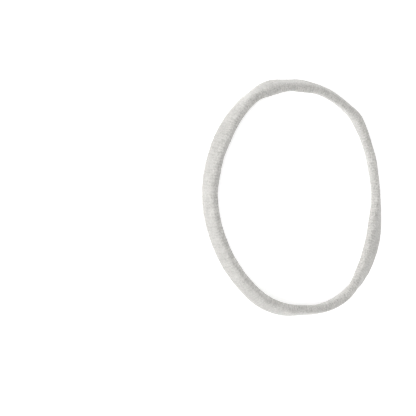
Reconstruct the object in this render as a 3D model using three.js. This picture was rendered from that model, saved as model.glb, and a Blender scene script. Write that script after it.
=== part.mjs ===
// A soft knitted nylon headband, relaxed and lying on its side as a nearly round loop.
//
// The band is one piece of stretch knit with no joint along its length. Its two long edges are turned in
// until they meet, which makes a flattened tube, hollow inside. They meet in a fine slit low on the inner
// side, which wanders a little as the band twists. The loop stands on its lower edge, which its own weight
// presses flat. +Z is up, and the origin is on the surface that it lies on, below the middle of the loop.

import * as THREE from 'three';

// Driving dimensions, in millimetres.
const LOOP_LENGTH = 300;      // relaxed length along the middle of the band
const BAND_WIDTH = 7.0;       // across the broad outer face
const BAND_THICKNESS = 4.2;   // from the outer face to the face against the head
const WALL = 1.1;             // thickness of the soft knit
const SEAM_GAP = 0.4;         // between the two turned edges
const REST_PRESS = 0.3;       // how much of the lower edge is pressed flat

// The section's outline, where 2 is an ellipse and more is squarer.
const OUTLINE_POWER = 3;

// How finely the surface is divided.
const STATIONS = 96;
const OUTER_STEPS = 28;
const INNER_STEPS = 16;

// The relaxed shape, a row for each bend, anticlockwise from +X. Angles are in degrees.
// at: angle round the loop. reach: distance from its middle, as a share of a round loop's radius.
// full: how full the soft tube is, as a share of the band's thickness.
// lean: how far the upper edge leans inwards. seam: how far below the middle of the inner face the slit is.
const BENDS = [
  { at: 0, reach: 0.980, full: 1.00, lean: 46, seam: 20 },
  { at: 14, reach: 0.977, full: 0.97, lean: 36, seam: 20 },
  { at: 30, reach: 1.006, full: 1.00, lean: 32, seam: 22 },
  { at: 40, reach: 1.032, full: 0.99, lean: 26, seam: 24 },
  { at: 49, reach: 1.060, full: 1.03, lean: 18, seam: 28 },
  { at: 57, reach: 1.054, full: 0.96, lean: 24, seam: 28 },
  { at: 66, reach: 1.053, full: 0.97, lean: 28, seam: 28 },
  { at: 76, reach: 1.050, full: 0.97, lean: 26, seam: 28 },
  { at: 90, reach: 1.038, full: 1.02, lean: 32, seam: 24 },
  { at: 98, reach: 1.039, full: 0.95, lean: 28, seam: 24 },
  { at: 109, reach: 1.040, full: 1.15, lean: 38, seam: 20 },
  { at: 119, reach: 1.030, full: 1.02, lean: 8, seam: 26 },
  { at: 132, reach: 1.005, full: 1.00, lean: 16, seam: 26 },
  { at: 146, reach: 0.975, full: 1.00, lean: 35, seam: 16 },
  { at: 162, reach: 0.960, full: 1.00, lean: 26, seam: 20 },
  { at: 180, reach: 0.955, full: 1.00, lean: 14, seam: 26 },
  { at: 204, reach: 0.940, full: 1.00, lean: 18, seam: 24 },
  { at: 228, reach: 0.957, full: 0.99, lean: 22, seam: 24 },
  { at: 248, reach: 1.003, full: 0.96, lean: 32, seam: 22 },
  { at: 262, reach: 1.023, full: 1.03, lean: 24, seam: 26 },
  { at: 272, reach: 1.031, full: 0.97, lean: 18, seam: 28 },
  { at: 285, reach: 1.063, full: 0.98, lean: 10, seam: 36 },
  { at: 294, reach: 1.082, full: 1.00, lean: 14, seam: 32 },
  { at: 303, reach: 1.087, full: 1.00, lean: 20, seam: 28 },
  { at: 317, reach: 1.075, full: 1.05, lean: 66, seam: 12 },
  { at: 334, reach: 1.045, full: 1.05, lean: 90, seam: 2 },
  { at: 348, reach: 1.003, full: 1.00, lean: 74, seam: 8 },
];

const FULL_TURN = 360;
const INNER_FACE = 180;   // the turn of an outline that faces the head, where 0 is outwards and 90 is up
const SMALL_TURN = 1;     // a step, in degrees, that is short enough to take a slope over
const radians = THREE.MathUtils.degToRad;

// A column of the table at any angle, on a smooth closed curve through its rows.
function bendValue(column, degrees) {
  const count = BENDS.length;
  const angle = THREE.MathUtils.euclideanModulo(degrees, FULL_TURN);
  const last = BENDS.findLastIndex((row) => row.at <= angle);
  const [before, from, to, after] = [-1, 0, 1, 2].map((step) => {
    const lap = Math.floor((last + step) / count);
    const row = BENDS[last + step - lap * count];
    return { at: row.at + lap * FULL_TURN, value: row[column] };
  });
  const span = to.at - from.at;
  const t = (angle - from.at) / span;
  const startSlope = (to.value - before.value) / (to.at - before.at) * span;
  const endSlope = (after.value - from.value) / (after.at - from.at) * span;
  return (2 * t ** 3 - 3 * t ** 2 + 1) * from.value + (t ** 3 - 2 * t ** 2 + t) * startSlope
    + (3 * t ** 2 - 2 * t ** 3) * to.value + (t ** 3 - t ** 2) * endSlope;
}

// The middle line of a loop whose reach of 1 is one millimetre.
function middleOfUnitLoop(degrees) {
  const reach = bendValue('reach', degrees);
  return new THREE.Vector2(reach * Math.cos(radians(degrees)), reach * Math.sin(radians(degrees)));
}

// The radius that gives the loop its real length.
function loopRadius() {
  let unitLength = 0;
  for (let degrees = 0; degrees < FULL_TURN; degrees += SMALL_TURN) {
    unitLength += middleOfUnitLoop(degrees).distanceTo(middleOfUnitLoop(degrees + SMALL_TURN));
  }
  return LOOP_LENGTH / unitLength;
}

// A point of a rounded outline with these half sizes.
function outlinePoint(halfThickness, halfWidth, turn) {
  const rounded = (x) => Math.sign(x) * Math.abs(x) ** (2 / OUTLINE_POWER);
  return new THREE.Vector2(
    halfThickness * rounded(Math.cos(radians(turn))),
    halfWidth * rounded(Math.sin(radians(turn))),
  );
}

// Points of one outline, from one edge of the slit all the way round to the other.
function openOutline(halfThickness, halfWidth, seamTurn, steps) {
  const runPerDegree = outlinePoint(halfThickness, halfWidth, seamTurn)
    .distanceTo(outlinePoint(halfThickness, halfWidth, seamTurn + SMALL_TURN)) / SMALL_TURN;
  const halfSlit = SEAM_GAP / 2 / runPerDegree;
  const points = [];
  for (let step = 0; step <= steps; step += 1) {
    const turn = seamTurn + halfSlit + (FULL_TURN - 2 * halfSlit) * (step / steps);
    points.push(outlinePoint(halfThickness, halfWidth, turn));
  }
  return points;
}

// The cut across the knit wall: round the outside, over one turned edge and back round the inside.
function wallSection(seamTurn, full) {
  const halfThickness = BAND_THICKNESS / 2 * full;
  const halfWidth = BAND_WIDTH / 2;
  const outer = openOutline(halfThickness, halfWidth, seamTurn, OUTER_STEPS);
  const inner = openOutline(halfThickness - WALL, halfWidth - WALL, seamTurn, INNER_STEPS);
  return outer.concat(inner.reverse());
}

// The section at one place round the loop, leaning as the band does there and pressed flat below.
function placedSection(degrees, radius) {
  const middle = middleOfUnitLoop(degrees).multiplyScalar(radius);
  const ahead = middleOfUnitLoop(degrees + SMALL_TURN);
  const along = ahead.sub(middleOfUnitLoop(degrees - SMALL_TURN)).normalize();
  const outwards = new THREE.Vector2(along.y, -along.x);
  const lean = radians(bendValue('lean', degrees));
  const section = wallSection(INNER_FACE + bendValue('seam', degrees), bendValue('full', degrees))
    .map((p) => p.rotateAround(new THREE.Vector2(), lean));
  const floor = Math.min(...section.map((p) => p.y)) + REST_PRESS;
  return section.map((p) => new THREE.Vector3(
    middle.x + outwards.x * p.x,
    middle.y + outwards.y * p.x,
    Math.max(0, p.y - floor),
  ));
}

// The whole band: the section carried once round the loop and joined to its start.
function bandGeometry() {
  const radius = loopRadius();
  const sections = [];
  for (let station = 0; station < STATIONS; station += 1) {
    sections.push(placedSection(station / STATIONS * FULL_TURN, radius));
  }
  const ring = sections[0].length;
  const faces = [];
  for (let station = 0; station < STATIONS; station += 1) {
    const here = station * ring;
    const next = (station + 1) % STATIONS * ring;
    for (let i = 0; i < ring; i += 1) {
      const j = (i + 1) % ring;
      faces.push(here + i, next + i, next + j, here + i, next + j, here + j);
    }
  }
  return new THREE.BufferGeometry().setFromPoints(sections.flat()).setIndex(faces);
}

// The band stands over the middle of its own outline.
function centreOverOrigin(geometry) {
  geometry.computeBoundingBox();
  const middle = geometry.boundingBox.getCenter(new THREE.Vector3());
  geometry.translate(-middle.x, -middle.y, 0);
  geometry.computeVertexNormals();
  return geometry;
}

const knit = new THREE.MeshStandardMaterial({ color: 0xc8c7c3, roughness: 0.95, metalness: 0 });
const band = new THREE.Mesh(centreOverOrigin(bandGeometry()), knit);
band.name = 'knit_band';

const headband = new THREE.Group();
headband.name = 'nylon_headband';
headband.add(band);

export default headband;
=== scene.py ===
import math

import bpy
import numpy as np
from mathutils import Matrix, Vector


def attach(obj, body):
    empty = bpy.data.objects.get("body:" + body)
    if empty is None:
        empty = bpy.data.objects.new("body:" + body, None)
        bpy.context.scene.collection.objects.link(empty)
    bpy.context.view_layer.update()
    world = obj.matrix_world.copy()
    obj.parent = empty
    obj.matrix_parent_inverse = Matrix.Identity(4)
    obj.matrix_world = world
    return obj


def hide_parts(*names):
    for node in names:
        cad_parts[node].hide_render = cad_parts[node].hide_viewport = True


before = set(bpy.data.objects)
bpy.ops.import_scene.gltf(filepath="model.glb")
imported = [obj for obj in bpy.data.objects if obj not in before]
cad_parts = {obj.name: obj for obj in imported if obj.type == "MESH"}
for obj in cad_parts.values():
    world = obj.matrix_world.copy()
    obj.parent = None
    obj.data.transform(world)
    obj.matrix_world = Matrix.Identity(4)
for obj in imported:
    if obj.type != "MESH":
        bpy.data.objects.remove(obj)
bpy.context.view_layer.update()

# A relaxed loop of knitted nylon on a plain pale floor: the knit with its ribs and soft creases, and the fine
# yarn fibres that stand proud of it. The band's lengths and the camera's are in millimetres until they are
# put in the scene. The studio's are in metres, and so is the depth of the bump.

MM = 0.001
FULL_TURN = 360
SMALL_TURN = 0.5            # a step, in degrees, that is short enough to take a slope over
BAND = "knit_band"

# The band, as it is in the frame.
LOOP_LENGTH = 300
BAND_WIDTH = 7.0
BAND_THICKNESS = 4.2
WALL = 1.1
SEAM_GAP = 0.4
REST_PRESS = 0.3
OUTLINE_POWER = 3
INNER_FACE = 180

# The relaxed shape, a row for each bend, anticlockwise from +X: the angle round the loop, the distance from
# its middle as a share of a round loop's radius, how full the tube is as a share of the band's thickness, how
# far the upper edge leans inwards, and how far below the middle of the inner face the slit is.
BENDS = [
    {"at": 0, "reach": 0.980, "full": 1.00, "lean": 46, "seam": 20},
    {"at": 14, "reach": 0.977, "full": 0.97, "lean": 36, "seam": 20},
    {"at": 30, "reach": 1.006, "full": 1.00, "lean": 32, "seam": 22},
    {"at": 40, "reach": 1.032, "full": 0.99, "lean": 26, "seam": 24},
    {"at": 49, "reach": 1.060, "full": 1.03, "lean": 18, "seam": 28},
    {"at": 57, "reach": 1.054, "full": 0.96, "lean": 24, "seam": 28},
    {"at": 66, "reach": 1.053, "full": 0.97, "lean": 28, "seam": 28},
    {"at": 76, "reach": 1.050, "full": 0.97, "lean": 26, "seam": 28},
    {"at": 90, "reach": 1.038, "full": 1.02, "lean": 32, "seam": 24},
    {"at": 98, "reach": 1.039, "full": 0.95, "lean": 28, "seam": 24},
    {"at": 109, "reach": 1.040, "full": 1.15, "lean": 38, "seam": 20},
    {"at": 119, "reach": 1.030, "full": 1.02, "lean": 8, "seam": 26},
    {"at": 132, "reach": 1.005, "full": 1.00, "lean": 16, "seam": 26},
    {"at": 146, "reach": 0.975, "full": 1.00, "lean": 35, "seam": 16},
    {"at": 162, "reach": 0.960, "full": 1.00, "lean": 26, "seam": 20},
    {"at": 180, "reach": 0.955, "full": 1.00, "lean": 14, "seam": 26},
    {"at": 204, "reach": 0.940, "full": 1.00, "lean": 18, "seam": 24},
    {"at": 228, "reach": 0.957, "full": 0.99, "lean": 22, "seam": 24},
    {"at": 248, "reach": 1.003, "full": 0.96, "lean": 32, "seam": 22},
    {"at": 262, "reach": 1.023, "full": 1.03, "lean": 24, "seam": 26},
    {"at": 272, "reach": 1.031, "full": 0.97, "lean": 18, "seam": 28},
    {"at": 285, "reach": 1.063, "full": 0.98, "lean": 10, "seam": 36},
    {"at": 294, "reach": 1.082, "full": 1.00, "lean": 14, "seam": 32},
    {"at": 303, "reach": 1.087, "full": 1.00, "lean": 20, "seam": 28},
    {"at": 317, "reach": 1.075, "full": 1.05, "lean": 66, "seam": 12},
    {"at": 334, "reach": 1.045, "full": 1.05, "lean": 90, "seam": 2},
    {"at": 348, "reach": 1.003, "full": 1.00, "lean": 74, "seam": 8},
]

# Soft creases across the band where it bends most. The turn is where each one's middle is round the section,
# with 0 outwards and 90 up. Depth and the half length along the band are shares of the band's thickness.
CREASES = [
    {"at": 12, "turn": 150, "depth": 0.020, "along": 0.25, "around": 50},
    {"at": 50, "turn": 130, "depth": 0.022, "along": 0.36, "around": 45},
    {"at": 57, "turn": 150, "depth": 0.012, "along": 0.30, "around": 35},
    {"at": 78, "turn": 70, "depth": 0.035, "along": 0.20, "around": 40},
    {"at": 103, "turn": 100, "depth": 0.015, "along": 0.25, "around": 40},
    {"at": 121, "turn": 100, "depth": 0.025, "along": 0.30, "around": 45},
    {"at": 150, "turn": 120, "depth": 0.020, "along": 0.25, "around": 40},
    {"at": 236, "turn": 120, "depth": 0.025, "along": 0.25, "around": 40},
    {"at": 263, "turn": 60, "depth": 0.045, "along": 0.25, "around": 50},
    {"at": 309, "turn": 70, "depth": 0.050, "along": 0.30, "around": 60},
    {"at": 316, "turn": 30, "depth": 0.030, "along": 0.22, "around": 40},
    {"at": 352, "turn": 40, "depth": 0.040, "along": 0.28, "around": 50},
]

# The knit.
WALES = 240                 # ribs, counted round the loop
STEPS_PER_WALE = 6
WALE_DEPTH = 0.025          # of the usual groove between two ribs
WALE_STRENGTH = (0.4, 1.5)  # the least and most that a rib has of that depth
WALE_ROUNDNESS = 0.7        # of a rib's top, where less is rounder
WALE_EVENNESS = (0.8, 0.5)  # of a rib along itself: the share of its strength that stays, and that varies
WALE_LEVEL = 0.5            # the part of a rib's height that lies at the smooth section
WALE_SLANT = 0.25           # how far the ribs wander along the band
COURSE_PITCH = 0.42         # between two rows of stitches
LUMP_HEIGHT = 0.020
FULL_DRIFT = 0.02           # how much the thickness wanders along the band, as a share of it
WIDTH_DRIFT = 0.012
OUTER_STEPS = 46
INNER_STEPS = 10
LIP_STEPS = 3

# Where the knit's uneven patches come from: a seed, and how many there are round the loop and the section.
THICKNESS_PATCHES = (3, (6, 24), (0, 1))
WIDTH_PATCHES = (4, (6, 24), (0, 1))
RIB_PATCHES = (5, (30, 110), (-4, 5))
LUMP_PATCHES = (6, (25, 90), (-4, 5))
SLANT_PATCHES = (7, (3, 30), (1, 3))
PATCH_WAVES = 14
RIB_SEED = 8
FIBRE_SEED = 11

# The yarn's fine fibres, each a low arch.
FIBRES = 9900
FIBRES_DRAWN = 13000        # before those that would pass through the floor are left out
FIBRE_RADIUS = 0.019
FIBRE_LENGTH = (0.45, 1.15)
FIBRE_RISE = 0.07           # how high the usual one stands
LEAST_RISE = 0.4            # of the usual one
MORE_RISE = 0.6             # what the usual one has above the least
MOST_RISE = 3.5
FIBRE_BEND = 0.12           # sideways
FIBRE_ROOT = 0.06           # how deep its ends are
FIBRE_RINGS = 4
FIBRE_SIDES = 3


# The relaxed shape

def bend_value(column, degrees):
    """A column of the table at any angles, on a smooth closed curve through its rows."""
    at = np.array([row["at"] for row in BENDS], float)
    value = np.array([row[column] for row in BENDS], float)
    at = np.concatenate([at[-2:] - FULL_TURN, at, at[:2] + FULL_TURN])
    value = np.concatenate([value[-2:], value, value[:2]])
    angle = np.mod(degrees, FULL_TURN)
    i = np.searchsorted(at, angle, side="right") - 1
    span = at[i + 1] - at[i]
    t = (angle - at[i]) / span
    start = (value[i + 1] - value[i - 1]) / (at[i + 1] - at[i - 1]) * span
    end = (value[i + 2] - value[i]) / (at[i + 2] - at[i]) * span
    return ((2 * t**3 - 3 * t**2 + 1) * value[i] + (t**3 - 2 * t**2 + t) * start
            + (3 * t**2 - 2 * t**3) * value[i + 1] + (t**3 - t**2) * end)


def middle_line(degrees):
    """Points of the loop's middle line, before it has its real length."""
    angle = np.radians(degrees)
    return bend_value("reach", degrees)[..., None] * np.stack([np.cos(angle), np.sin(angle)], axis=-1)


def unit(vectors):
    return vectors / np.linalg.norm(vectors, axis=-1, keepdims=True)


class Loop:
    """The loop's middle line, by the distance along it."""

    SAMPLES = 7201

    def __init__(self):
        self.degrees = np.linspace(0, FULL_TURN, self.SAMPLES)
        points = middle_line(self.degrees)
        run = np.concatenate([[0], np.cumsum(np.linalg.norm(np.diff(points, axis=0), axis=1))])
        self.radius = LOOP_LENGTH / run[-1]
        self.run = run * self.radius

    def degrees_at(self, distance):
        return np.interp(np.mod(distance, LOOP_LENGTH), self.run, self.degrees)

    def distance_at(self, degrees):
        return np.interp(degrees, self.degrees, self.run)

    def frame_at(self, degrees):
        """The middle of the band, and the ways along it and outwards, at these angles."""
        along = unit(middle_line(degrees + SMALL_TURN) - middle_line(degrees - SMALL_TURN))
        outwards = np.stack([along[..., 1], -along[..., 0]], axis=-1)
        return middle_line(degrees) * self.radius, along, outwards


LOOP = Loop()


def wrapped(value, whole):
    """The same value on a closed line of this length, from minus a half of it to a half."""
    return np.mod(value + whole / 2, whole) - whole / 2


def patches(distance, turns, kind):
    """Smooth random patches over the knit, from about -1 to 1, that close on themselves both ways."""
    seed, along_counts, around_counts = kind
    rng = np.random.default_rng(seed)
    total = 0
    for _ in range(PATCH_WAVES):
        along = rng.integers(*along_counts)
        around = rng.integers(*around_counts)
        phase = rng.uniform(0, 2 * math.pi)
        laps = along * distance / LOOP_LENGTH + around * turns / FULL_TURN
        total = total + np.sin(2 * math.pi * laps + phase)
    return total / math.sqrt(PATCH_WAVES)


# The section

def outline(half_thickness, half_width, turn):
    """Points of a rounded outline, and the way out of it. Turn 0 is outwards and 90 is up."""
    c, s = np.cos(np.radians(turn)), np.sin(np.radians(turn))
    power = 2 / OUTLINE_POWER
    x = half_thickness * np.sign(c) * np.abs(c) ** power
    y = half_width * np.sign(s) * np.abs(s) ** power
    nx = np.sign(c) * np.abs(c) ** (2 - power) / half_thickness
    ny = np.sign(s) * np.abs(s) ** (2 - power) / half_width
    return np.stack([x, y], axis=-1), unit(np.stack([nx, ny], axis=-1))


def lip(start, end, out_of_wall):
    """The rounded edge of the wall, from one of its faces to the other."""
    middle = (start + end) / 2
    arm = start - middle
    bulge = out_of_wall * np.linalg.norm(arm, axis=-1, keepdims=True)
    points = []
    for step in range(1, LIP_STEPS + 1):
        angle = math.pi * step / (LIP_STEPS + 1)
        points.append(middle + arm * math.cos(angle) + bulge * math.sin(angle))
    return points


def wall_section(seam_turn, half_thickness, half_width):
    """The cut across the knit wall: rows of points, the way out of each outer one, and its turn."""
    probe = outline(half_thickness, half_width, seam_turn)[0]
    per_degree = np.linalg.norm(outline(half_thickness, half_width, seam_turn + 1)[0] - probe, axis=-1)
    set_back = (SEAM_GAP / 2 + WALL / 2) / per_degree
    points, ways, turns = [], [], []
    for step in range(OUTER_STEPS + 1):
        turn = seam_turn + set_back + (FULL_TURN - 2 * set_back) * step / OUTER_STEPS
        p, way = outline(half_thickness, half_width, turn)
        points.append(p)
        ways.append(way)
        turns.append(turn)
    inner = []
    for step in range(INNER_STEPS, -1, -1):
        turn = seam_turn + set_back + (FULL_TURN - 2 * set_back) * step / INNER_STEPS
        inner.append(outline(half_thickness - WALL, half_width - WALL, turn)[0])
    seam_way = unit(points[-1] - points[0])
    far_lip = lip(points[-1], inner[0], -seam_way)
    near_lip = lip(inner[-1], points[0], seam_way)
    hidden = len(far_lip) + len(inner) + len(near_lip)
    points += far_lip + inner + near_lip
    ways += [np.zeros_like(points[0])] * hidden
    turns += [np.zeros_like(seam_turn)] * hidden
    return np.stack(points, axis=1), np.stack(ways, axis=1), np.stack(turns, axis=1)


def relief(distance, turns):
    """How far the knit stands out of its smooth section: ribs that fade in and out, lumps and creases."""
    wale, step = np.divmod(np.arange(len(distance)), STEPS_PER_WALE)
    crest = np.sin(math.pi * step / STEPS_PER_WALE) ** WALE_ROUNDNESS
    strength = np.random.default_rng(RIB_SEED).uniform(*WALE_STRENGTH, WALES)[wale][:, None]
    kept, varied = WALE_EVENNESS
    strength = strength * (kept + varied * patches(distance, turns, RIB_PATCHES)).clip(0)
    height = (crest[:, None] - WALE_LEVEL) * WALE_DEPTH * strength
    height += LUMP_HEIGHT * patches(distance, turns, LUMP_PATCHES)
    for crease in CREASES:
        half_length = crease["along"] * BAND_THICKNESS
        along = wrapped(distance - LOOP.distance_at(crease["at"]), LOOP_LENGTH) / half_length
        around = wrapped(turns - crease["turn"], FULL_TURN) / crease["around"]
        falloff = (1 - 2 * along**2) * np.exp(-along**2) * np.exp(-around**2)
        height -= crease["depth"] * BAND_THICKNESS * falloff
    return height


def knit_points():
    """The knit's points as rows along the loop, with the distance round the section."""
    stations = WALES * STEPS_PER_WALE
    distance = np.arange(stations) * LOOP_LENGTH / stations
    degrees = LOOP.degrees_at(distance)
    row = distance[:, None]
    still = np.zeros_like(row)
    fullness = 1 + FULL_DRIFT * patches(row, still, THICKNESS_PATCHES)[:, 0]
    half_thickness = BAND_THICKNESS / 2 * bend_value("full", degrees) * fullness
    half_width = BAND_WIDTH / 2 * (1 + WIDTH_DRIFT * patches(row, still, WIDTH_PATCHES)[:, 0])
    section, ways, turns = wall_section(INNER_FACE + bend_value("seam", degrees), half_thickness, half_width)
    section = section + ways * relief(row, turns)[..., None]
    lean = np.radians(bend_value("lean", degrees))[:, None]
    x = section[..., 0] * np.cos(lean) - section[..., 1] * np.sin(lean)
    y = section[..., 0] * np.sin(lean) + section[..., 1] * np.cos(lean)
    floor = y.min(axis=1, keepdims=True) + REST_PRESS
    height = np.maximum(y - floor, 0)
    middle, along, outwards = LOOP.frame_at(degrees)
    wander = WALE_SLANT * patches(row, turns, SLANT_PATCHES)
    plan = middle[:, None] + outwards[:, None] * x[..., None] + along[:, None] * wander[..., None]
    points = np.concatenate([plan, height[..., None]], axis=-1)
    centre = (points.min(axis=(0, 1)) + points.max(axis=(0, 1))) / 2
    centre[2] = 0
    girth = np.linalg.norm(np.diff(section, axis=1, append=section[:, :1]), axis=-1).cumsum(axis=1)
    return points - centre, girth


# Meshes

def mesh_object(name, points, faces, uvs=None):
    mesh = bpy.data.meshes.new(name)
    mesh.from_pydata((np.asarray(points) * MM).tolist(), [], faces)
    mesh.polygons.foreach_set("use_smooth", [True] * len(mesh.polygons))
    if uvs is not None:
        mesh.uv_layers.new(name="knit").data.foreach_set("uv", np.asarray(uvs, np.float32).ravel())
    mesh.update()
    piece = bpy.data.objects.new(name, mesh)
    bpy.context.scene.collection.objects.link(piece)
    return piece


def knit_tube(points, girth):
    """The whole knit: the section carried round the loop, its ribs across it."""
    stations, ring = points.shape[:2]
    faces, uvs = [], []
    for station in range(stations):
        here, there = station * ring, (station + 1) % stations * ring
        u0, u1 = station / STEPS_PER_WALE, (station + 1) / STEPS_PER_WALE
        around = girth[station]
        for i in range(ring):
            j = (i + 1) % ring
            faces.append((here + i, there + i, there + j, here + j))
            v0 = around[i - 1] if i else 0
            v1 = around[i]
            uvs += [(u0, v0), (u1, v0), (u1, v1), (u0, v1)]
    return mesh_object("knit_tube", points.reshape(-1, 3), faces, uvs)


def fibre_paths(knit):
    """Points along each fibre that clears the floor, with the way out of the knit and the way across."""
    rng = np.random.default_rng(FIBRE_SEED)
    stations = knit.shape[0]
    spacing = np.linalg.norm(np.diff(knit[:, :OUTER_STEPS + 1], axis=1), axis=-1).mean(axis=0)
    station = rng.integers(0, stations, FIBRES_DRAWN)
    i = rng.choice(OUTER_STEPS, FIBRES_DRAWN, p=spacing / spacing.sum())
    step = knit[station, i + 1] - knit[station, i]
    root = knit[station, i] + step * rng.uniform(0, 1, (FIBRES_DRAWN, 1))
    along = unit(knit[(station + 1) % stations, i] - knit[station - 1, i])
    around = unit(step)
    out = unit(np.cross(along, around))
    centre = knit[station, :OUTER_STEPS].mean(axis=1)
    out *= np.sign(np.sum(out * (root - centre), axis=-1, keepdims=True))
    heading = rng.uniform(0, 2 * math.pi, (FIBRES_DRAWN, 1))
    forward = along * np.cos(heading) + around * np.sin(heading)
    across = unit(np.cross(forward, out))
    length = rng.uniform(*FIBRE_LENGTH, (FIBRES_DRAWN, 1))
    rise = FIBRE_RISE * (LEAST_RISE + rng.exponential(MORE_RISE, (FIBRES_DRAWN, 1))).clip(max=MOST_RISE)
    bend = rng.normal(0, FIBRE_BEND, (FIBRES_DRAWN, 1))
    paths = []
    for ring in range(FIBRE_RINGS):
        t = 2 * ring / (FIBRE_RINGS - 1) - 1
        paths.append(root + forward * length * t / 2 + across * bend * (1 - t**2)
                     + out * (rise - (rise + FIBRE_ROOT) * t**2))
    paths = np.stack(paths, axis=1)
    clear = np.flatnonzero(paths[..., 2].min(axis=1) > FIBRE_RADIUS)[:FIBRES]
    return paths[clear], out[clear], across[clear]


def surface_fibres(knit):
    """Fine loose fibres of the yarn, low arches all over the knit."""
    paths, out, across = fibre_paths(knit)
    rings = []
    for side in range(FIBRE_SIDES):
        angle = 2 * math.pi * side / FIBRE_SIDES
        arm = (out * math.cos(angle) + across * math.sin(angle)) * FIBRE_RADIUS
        rings.append(paths + arm[:, None])
    points = np.stack(rings, axis=2)
    faces = []
    for fibre in range(FIBRES):
        first = fibre * FIBRE_RINGS * FIBRE_SIDES
        for ring in range(FIBRE_RINGS - 1):
            near, far = first + ring * FIBRE_SIDES, first + (ring + 1) * FIBRE_SIDES
            for side in range(FIBRE_SIDES):
                turn = (side + 1) % FIBRE_SIDES
                faces.append((near + side, near + turn, far + turn, far + side))
        last = first + (FIBRE_RINGS - 1) * FIBRE_SIDES
        faces.append(tuple(first + side for side in reversed(range(FIBRE_SIDES))))
        faces.append(tuple(last + side for side in range(FIBRE_SIDES)))
    return mesh_object("surface_fibres", points.reshape(-1, 3), faces)


# Materials

# The knit's unevenness: how fine each kind is, and how much it adds to the shade and to the height. The shift
# is how many ribs the melange moves the pattern by. The slant is how steeply a stitch leans away from its
# rib's crest, in rows to a rib.
MELANGE = {"scale": 380, "detail": 5, "shade": 0.45, "shift": 0.8}
SPECK = {"scale": 1500, "detail": 2, "shade": 0.88, "height": 0.70}
FUZZ = {"scale": 2600, "detail": 3, "shade": 0.50, "height": 0.90}
STITCH = {"shade": 0.25, "height": 0.80, "least_height": 0.50, "slant": 1.4}
# The grooves between ribs: their depth dents the bump, and their shade darkens the colour there, which is
# painted shade.
GROOVE_RELIEF_AND_SHADE = {"shade": 0.40, "height": 0.80, "sharpness": 3.0}
NOISE_MIDDLE = 0.5          # what a noise is on average
WALE_MIDDLE = 0.5           # where a rib's crest is, as a share of the rib
STRANDS_PER_WALE = 2.0
COURSES_PER_GAP = 2.0
USUAL_TEXTURE = 0.52        # what the finer kinds come to on average
# Along the upper edge the finer texture shows more strongly. The speckle itself is the knit's own random
# tone, but its extra strength there is painted shade where the light grazes the relief.
GRAZING_STRIP_PLACE = 12.0           # in millimetres from the slit to the upper edge, over the outer face
GRAZING_STRIP_REACH = 4.5            # in millimetres, how far from it the texture is made stronger
TEXTURE_STRENGTH_AND_GRAZING_SHADE = (0.48, 0.68)     # of the finer texture away from the upper strip, and how much more along it
KNIT_SHADES = [(0.165, (0.335, 0.329, 0.3145, 1)), (0.765, (0.586, 0.576, 0.5535, 1))]
KNIT_FINISH = {"Roughness": 0.9, "Specular IOR Level": 0.25, "Sheen Weight": 0.6, "Sheen Roughness": 0.4}
KNIT_BUMP = {"Strength": 0.7, "Distance": 0.00009}

FIBRE_GLEAM = {"scale": 500, "detail": 2}
# The fibres' colours: brighter here and there at random, and lighter than the knit as a whole, which is
# painted light for the bright rim of backlit fuzz.
FIBRE_SHADES_WITH_RIM_LIGHT = [(0.35, (0.56, 0.55, 0.53, 1)), (0.65, (0.76, 0.75, 0.73, 1))]
FIBRE_FINISH = {"Roughness": 0.55, "Specular IOR Level": 0.4, "Sheen Weight": 0.6}

FLOOR_FINISH = {
    "Base Color": (0.93, 0.93, 0.93, 1),
    "Emission Color": (1, 1, 1, 1),
    "Emission Strength": 0.40,
    "Roughness": 0.8,
    "Specular IOR Level": 0.1,
}


def set_inputs(node, values):
    for name, value in values.items():
        node.inputs[name].default_value = value


def new_material(name, finish):
    material = bpy.data.materials.new(name)
    material.use_nodes = True
    nodes = material.node_tree.nodes
    shader = nodes["Principled BSDF"]
    set_inputs(shader, finish)
    return material, nodes, material.node_tree.links, shader


def math_node(nodes, links, operation, first, second=None):
    node = nodes.new("ShaderNodeMath")
    node.operation = operation
    for slot, value in ((0, first), (1, second)):
        if value is None:
            continue
        if isinstance(value, (int, float)):
            node.inputs[slot].default_value = value
        else:
            links.new(value, node.inputs[slot])
    return node.outputs[0]


def noise_node(nodes, links, vector, kind):
    noise = nodes.new("ShaderNodeTexNoise")
    set_inputs(noise, {"Scale": kind["scale"], "Detail": kind["detail"]})
    links.new(vector, noise.inputs["Vector"])
    return noise.outputs[0]


def random_node(nodes, links, *values):
    """A random number for each whole-numbered place."""
    join = nodes.new("ShaderNodeCombineXYZ")
    for slot, value in enumerate(values):
        links.new(value, join.inputs[slot])
    white = nodes.new("ShaderNodeTexWhiteNoise")
    white.noise_dimensions = "3D"
    links.new(join.outputs[0], white.inputs["Vector"])
    return white.outputs["Value"]


def ramp_node(nodes, links, value, stops):
    ramp = nodes.new("ShaderNodeValToRGB")
    for element, (position, colour) in zip(ramp.color_ramp.elements, stops):
        element.position = position
        element.color = colour
    links.new(value, ramp.inputs[0])
    return ramp.outputs[0]


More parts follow.
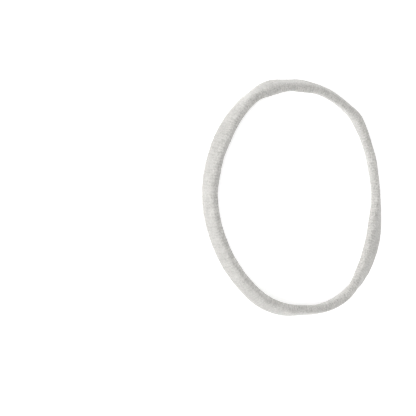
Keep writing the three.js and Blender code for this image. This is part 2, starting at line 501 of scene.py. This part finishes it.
def knit_material():
    """Matte knit in an uneven warm pale grey, with slanting stitches in each rib, no two alike. The grooves
    between ribs are darkened as painted shade, and the random speckle is made stronger along the upper strip
    as painted shade of grazing light.
    """
    material, nodes, links, shader = new_material("nylon_knit", KNIT_FINISH)

    def calc(operation, first, second=None):
        return math_node(nodes, links, operation, first, second)

    def total(*weighted):
        parts = [calc("MULTIPLY", value, weight) for value, weight in weighted]
        result = parts[0]
        for part in parts[1:]:
            result = calc("ADD", result, part)
        return result

    place = nodes.new("ShaderNodeTexCoord").outputs["Object"]
    melange = noise_node(nodes, links, place, MELANGE)
    speck = noise_node(nodes, links, place, SPECK)
    fuzz = noise_node(nodes, links, place, FUZZ)
    uv = nodes.new("ShaderNodeUVMap")
    uv.uv_map = "knit"
    split = nodes.new("ShaderNodeSeparateXYZ")
    links.new(uv.outputs["UV"], split.inputs[0])
    along, around = split.outputs["X"], split.outputs["Y"]

    shift = calc("MULTIPLY", calc("SUBTRACT", melange, NOISE_MIDDLE), MELANGE["shift"])
    wale = calc("ADD", along, shift)
    strand = calc("FLOOR", calc("MULTIPLY", wale, STRANDS_PER_WALE))
    off_crest = calc("ABSOLUTE", calc("SUBTRACT", calc("FRACT", wale), WALE_MIDDLE))
    course = calc("DIVIDE", around, COURSE_PITCH)
    course = calc("ADD", course, random_node(nodes, links, calc("FLOOR", wale)))
    course = calc("ADD", course, calc("MULTIPLY", off_crest, STITCH["slant"]))
    stitch = calc("ABSOLUTE", calc("SINE", calc("MULTIPLY", course, math.pi)))
    chance = random_node(nodes, links, strand, calc("FLOOR", course))
    nearest_gap = calc("FLOOR", calc("ADD", wale, WALE_MIDDLE))
    gap_course = calc("FLOOR", calc("DIVIDE", course, COURSES_PER_GAP))
    gap = random_node(nodes, links, nearest_gap, gap_course)
    groove = calc("POWER", calc("DIVIDE", off_crest, WALE_MIDDLE), GROOVE_RELIEF_AND_SHADE["sharpness"])
    open_groove_relief_and_shade = calc("MULTIPLY", groove, gap)

    stitch_height = calc("ADD", calc("MULTIPLY", chance, STITCH["height"]), STITCH["least_height"])
    height = calc("MULTIPLY", stitch, stitch_height)
    finer = total((fuzz, FUZZ["height"]), (speck, SPECK["height"]), (open_groove_relief_and_shade, -GROOVE_RELIEF_AND_SHADE["height"]))
    bump = nodes.new("ShaderNodeBump")
    set_inputs(bump, KNIT_BUMP)
    links.new(calc("ADD", height, finer), bump.inputs["Height"])
    links.new(bump.outputs[0], shader.inputs["Normal"])

    # The upper strip, where the light grazes the knit: the texture is made stronger there as painted shade.
    from_grazing_strip = calc("ABSOLUTE", calc("SUBTRACT", around, GRAZING_STRIP_PLACE))
    falloff = calc("MAXIMUM", calc("SUBTRACT", 1.0, calc("DIVIDE", from_grazing_strip, GRAZING_STRIP_REACH)), 0.0)
    strength_and_grazing_shade = calc("ADD", calc("MULTIPLY", falloff, TEXTURE_STRENGTH_AND_GRAZING_SHADE[1]), TEXTURE_STRENGTH_AND_GRAZING_SHADE[0])
    # Subtracting the grooves here paints shade into the recesses between ribs; the specks and stitches are
    # the knit's own random tone.
    texture = total((speck, SPECK["shade"]), (chance, STITCH["shade"]), (open_groove_relief_and_shade, -GROOVE_RELIEF_AND_SHADE["shade"]))
    texture = calc("MULTIPLY", calc("SUBTRACT", texture, USUAL_TEXTURE), strength_and_grazing_shade)
    shade = total((melange, MELANGE["shade"]), (fuzz, FUZZ["shade"]))
    shade = calc("ADD", shade, texture)
    links.new(ramp_node(nodes, links, shade, KNIT_SHADES), shader.inputs["Base Color"])
    return material


def fibre_material():
    """Fine nylon filament, a little brighter here and there, with a slight gloss, and lighter than the knit
    as painted light for a bright rim of backlit fuzz.
    """
    material, nodes, links, shader = new_material("nylon_fibre", FIBRE_FINISH)
    place = nodes.new("ShaderNodeTexCoord").outputs["Object"]
    gleam = noise_node(nodes, links, place, FIBRE_GLEAM)
    links.new(ramp_node(nodes, links, gleam, FIBRE_SHADES_WITH_RIM_LIGHT), shader.inputs["Base Color"])
    return material


# The view and the light

VIEW_TILT = math.radians(31.8)          # of the camera's axis from straight down
FIELD_OF_VIEW = math.radians(30)
CAMERA_DISTANCE = 311.5
AIM = Vector((-47.2, -4.5, 3.4))
NEAR_CLIP = 0.01                        # in metres

# A large white studio, its walls white up to a low height and its ceiling darker. The ramp goes by the
# height of a direction, from 0 at the horizon to 1 overhead. The lamps stand beyond the floor. Lengths are in
# metres and powers in watts.
FLOOR_HALF = 5.2
STUDIO_SHADES = [(0.06, (1.0, 1.0, 1.0, 1)), (0.20, (0.30, 0.30, 0.30, 1))]
LAMP_SIZE = 6.4
LAMPS = [
    {"name": "key", "place": (-6.4, -2.0, 3.2), "power": 600},
    {"name": "fill_far", "place": (0.0, 7.6, 1.76), "power": 325},
    {"name": "fill_back", "place": (7.6, 0.0, 1.76), "power": 135},
    {"name": "fill_back_far", "place": (5.6, 5.6, 2.0), "power": 265},
    {"name": "fill_back_near", "place": (5.6, -5.6, 2.0), "power": 270},
]


def add_camera():
    away = Vector((math.sin(VIEW_TILT), 0, -math.cos(VIEW_TILT)))
    right = Vector((math.cos(VIEW_TILT), 0, math.sin(VIEW_TILT)))
    up = Vector((0, 1, 0))
    data = bpy.data.cameras.new("camera")
    data.sensor_fit = "HORIZONTAL"
    data.angle = FIELD_OF_VIEW
    data.clip_start = NEAR_CLIP
    camera = bpy.data.objects.new("camera", data)
    place = (AIM - away * CAMERA_DISTANCE) * MM
    camera.matrix_world = Matrix.Translation(place) @ Matrix((right, up, -away)).transposed().to_4x4()
    bpy.context.scene.collection.objects.link(camera)
    bpy.context.scene.camera = camera


def add_lamp(name, place, power):
    """A round soft lamp that faces the band."""
    data = bpy.data.lights.new(name, "AREA")
    data.shape = "DISK"
    data.size = LAMP_SIZE
    data.energy = power
    lamp = bpy.data.objects.new(name, data)
    lamp.location = place
    lamp.rotation_euler = (-Vector(place)).to_track_quat("-Z", "Y").to_euler()
    bpy.context.scene.collection.objects.link(lamp)


def add_world():
    world = bpy.data.worlds.new("studio")
    world.use_nodes = True
    nodes, links = world.node_tree.nodes, world.node_tree.links
    split = nodes.new("ShaderNodeSeparateXYZ")
    links.new(nodes.new("ShaderNodeTexCoord").outputs["Generated"], split.inputs[0])
    shade = ramp_node(nodes, links, split.outputs["Z"], STUDIO_SHADES)
    links.new(shade, nodes["Background"].inputs["Color"])
    bpy.context.scene.world = world


def add_light():
    for lamp in LAMPS:
        add_lamp(**lamp)
    add_world()
    bpy.context.scene.view_settings.view_transform = "Standard"


def add_floor():
    """Plain white paper with a slight glow, so that it stays white beside the band."""
    half = FLOOR_HALF
    corners = [(-half, -half, 0), (half, -half, 0), (half, half, 0), (-half, half, 0)]
    mesh = bpy.data.meshes.new("floor")
    mesh.from_pydata(corners, [], [(0, 1, 2, 3)])
    mesh.materials.append(new_material("floor_paper", FLOOR_FINISH)[0])
    floor = bpy.data.objects.new("floor", mesh)
    bpy.context.scene.collection.objects.link(floor)


add_camera()
add_light()
add_floor()

knit, girth = knit_points()
tube = knit_tube(knit, girth)
tube.data.materials.append(knit_material())
fibres = surface_fibres(knit)
fibres.data.materials.append(fibre_material())

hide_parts(BAND)
for piece in (tube, fibres):
    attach(piece, "root")
